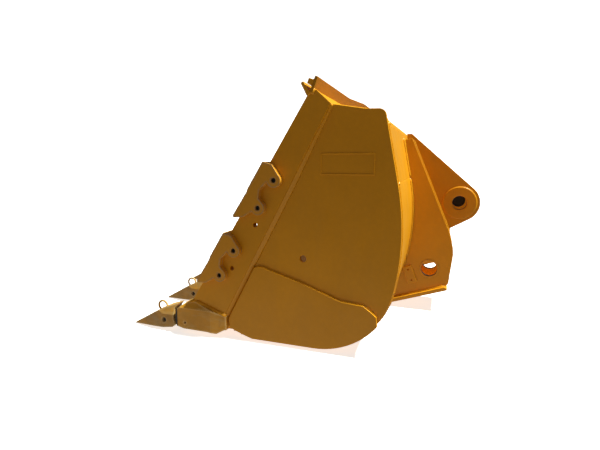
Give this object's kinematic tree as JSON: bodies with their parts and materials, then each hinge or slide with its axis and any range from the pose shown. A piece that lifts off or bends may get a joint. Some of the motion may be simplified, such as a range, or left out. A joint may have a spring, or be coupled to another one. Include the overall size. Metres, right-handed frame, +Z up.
{
  "type": "wheel loader rock bucket",
  "caption": "Pin-on wheel loader rock bucket with a spade-nose edge, pointed teeth, bolted side shrouds, spill guard, lift arm hinges and tilt link ears.",
  "frame": {"origin": "on the ground under the centre of the whole bucket's bounding box", "axes": "+X towards the bucket's left side, as its operator sees it; -Y forwards, the way the teeth point; +Z up"},
  "size_m": [3.06, 2.486, 1.4997],
  "materials": {
    "paint": "semi-gloss yellow-orange machine paint over steel plate",
    "cast_paint": "satin machine paint over rough castings",
    "worn_tip": "thin worn paint over dark cast steel",
    "steel": "bare machined steel, slightly dulled",
    "black_plastic": "matte black moulded plastic"
  },
  "bodies": {
    "bucket": {"floor_plate": "paint", "heel_plate": "paint", "back_plate": "paint", "upper_back_plate": "paint", "top_plate": "paint", "base_edge_left": "paint", "base_edge_right": "paint", "side_plate_left": "paint", "side_plate_right": "paint", "side_bar_left": "paint", "side_bar_right": "paint", "upper_shroud_left": "paint", "upper_shroud_right": "paint", "lower_shroud_left": "paint", "lower_shroud_right": "paint", "side_wear_plate_left": "paint", "side_wear_plate_right": "paint", "bottom_wear_plates": "paint", "nameplate_frames": "paint", "lip_bar": "paint", "spill_guard": "paint", "guard_bar": "paint", "hinge_plate_left_outer": "paint", "hinge_plate_left_inner": "paint", "hinge_plate_right_inner": "paint", "hinge_plate_right_outer": "paint", "hinge_skid_left": "paint", "hinge_skid_right": "paint", "keeper_pad_left": "paint", "keeper_pad_right": "paint", "tilt_plate_left": "paint", "tilt_plate_right": "paint", "tilt_boss_left": "paint", "tilt_boss_right": "paint", "adapter_1": "cast_paint", "adapter_2": "cast_paint", "adapter_3": "cast_paint", "adapter_4": "cast_paint", "adapter_5": "cast_paint", "adapter_6": "cast_paint", "adapter_7": "cast_paint", "tip_1": "worn_tip", "tip_2": "worn_tip", "tip_3": "worn_tip", "tip_4": "worn_tip", "tip_5": "worn_tip", "tip_6": "worn_tip", "tip_7": "worn_tip", "lifting_eyes": "worn_tip", "shroud_bolts": "steel", "shroud_nuts": "steel", "tip_pins": "steel", "hinge_bushing_left_outer": "steel", "hinge_bushing_left_inner": "steel", "hinge_bushing_right_inner": "steel", "hinge_bushing_right_outer": "steel", "tilt_bushing_left": "steel", "tilt_bushing_right": "steel"},
    "plug": {"bore_plug": "black_plastic"}
  },
  "joints": [
    {"name": "plug_pull", "type": "slide", "parent": "bucket", "child": "plug", "axis": [-1, 0, 0], "range_m": [0, 0.12]}
  ]
}
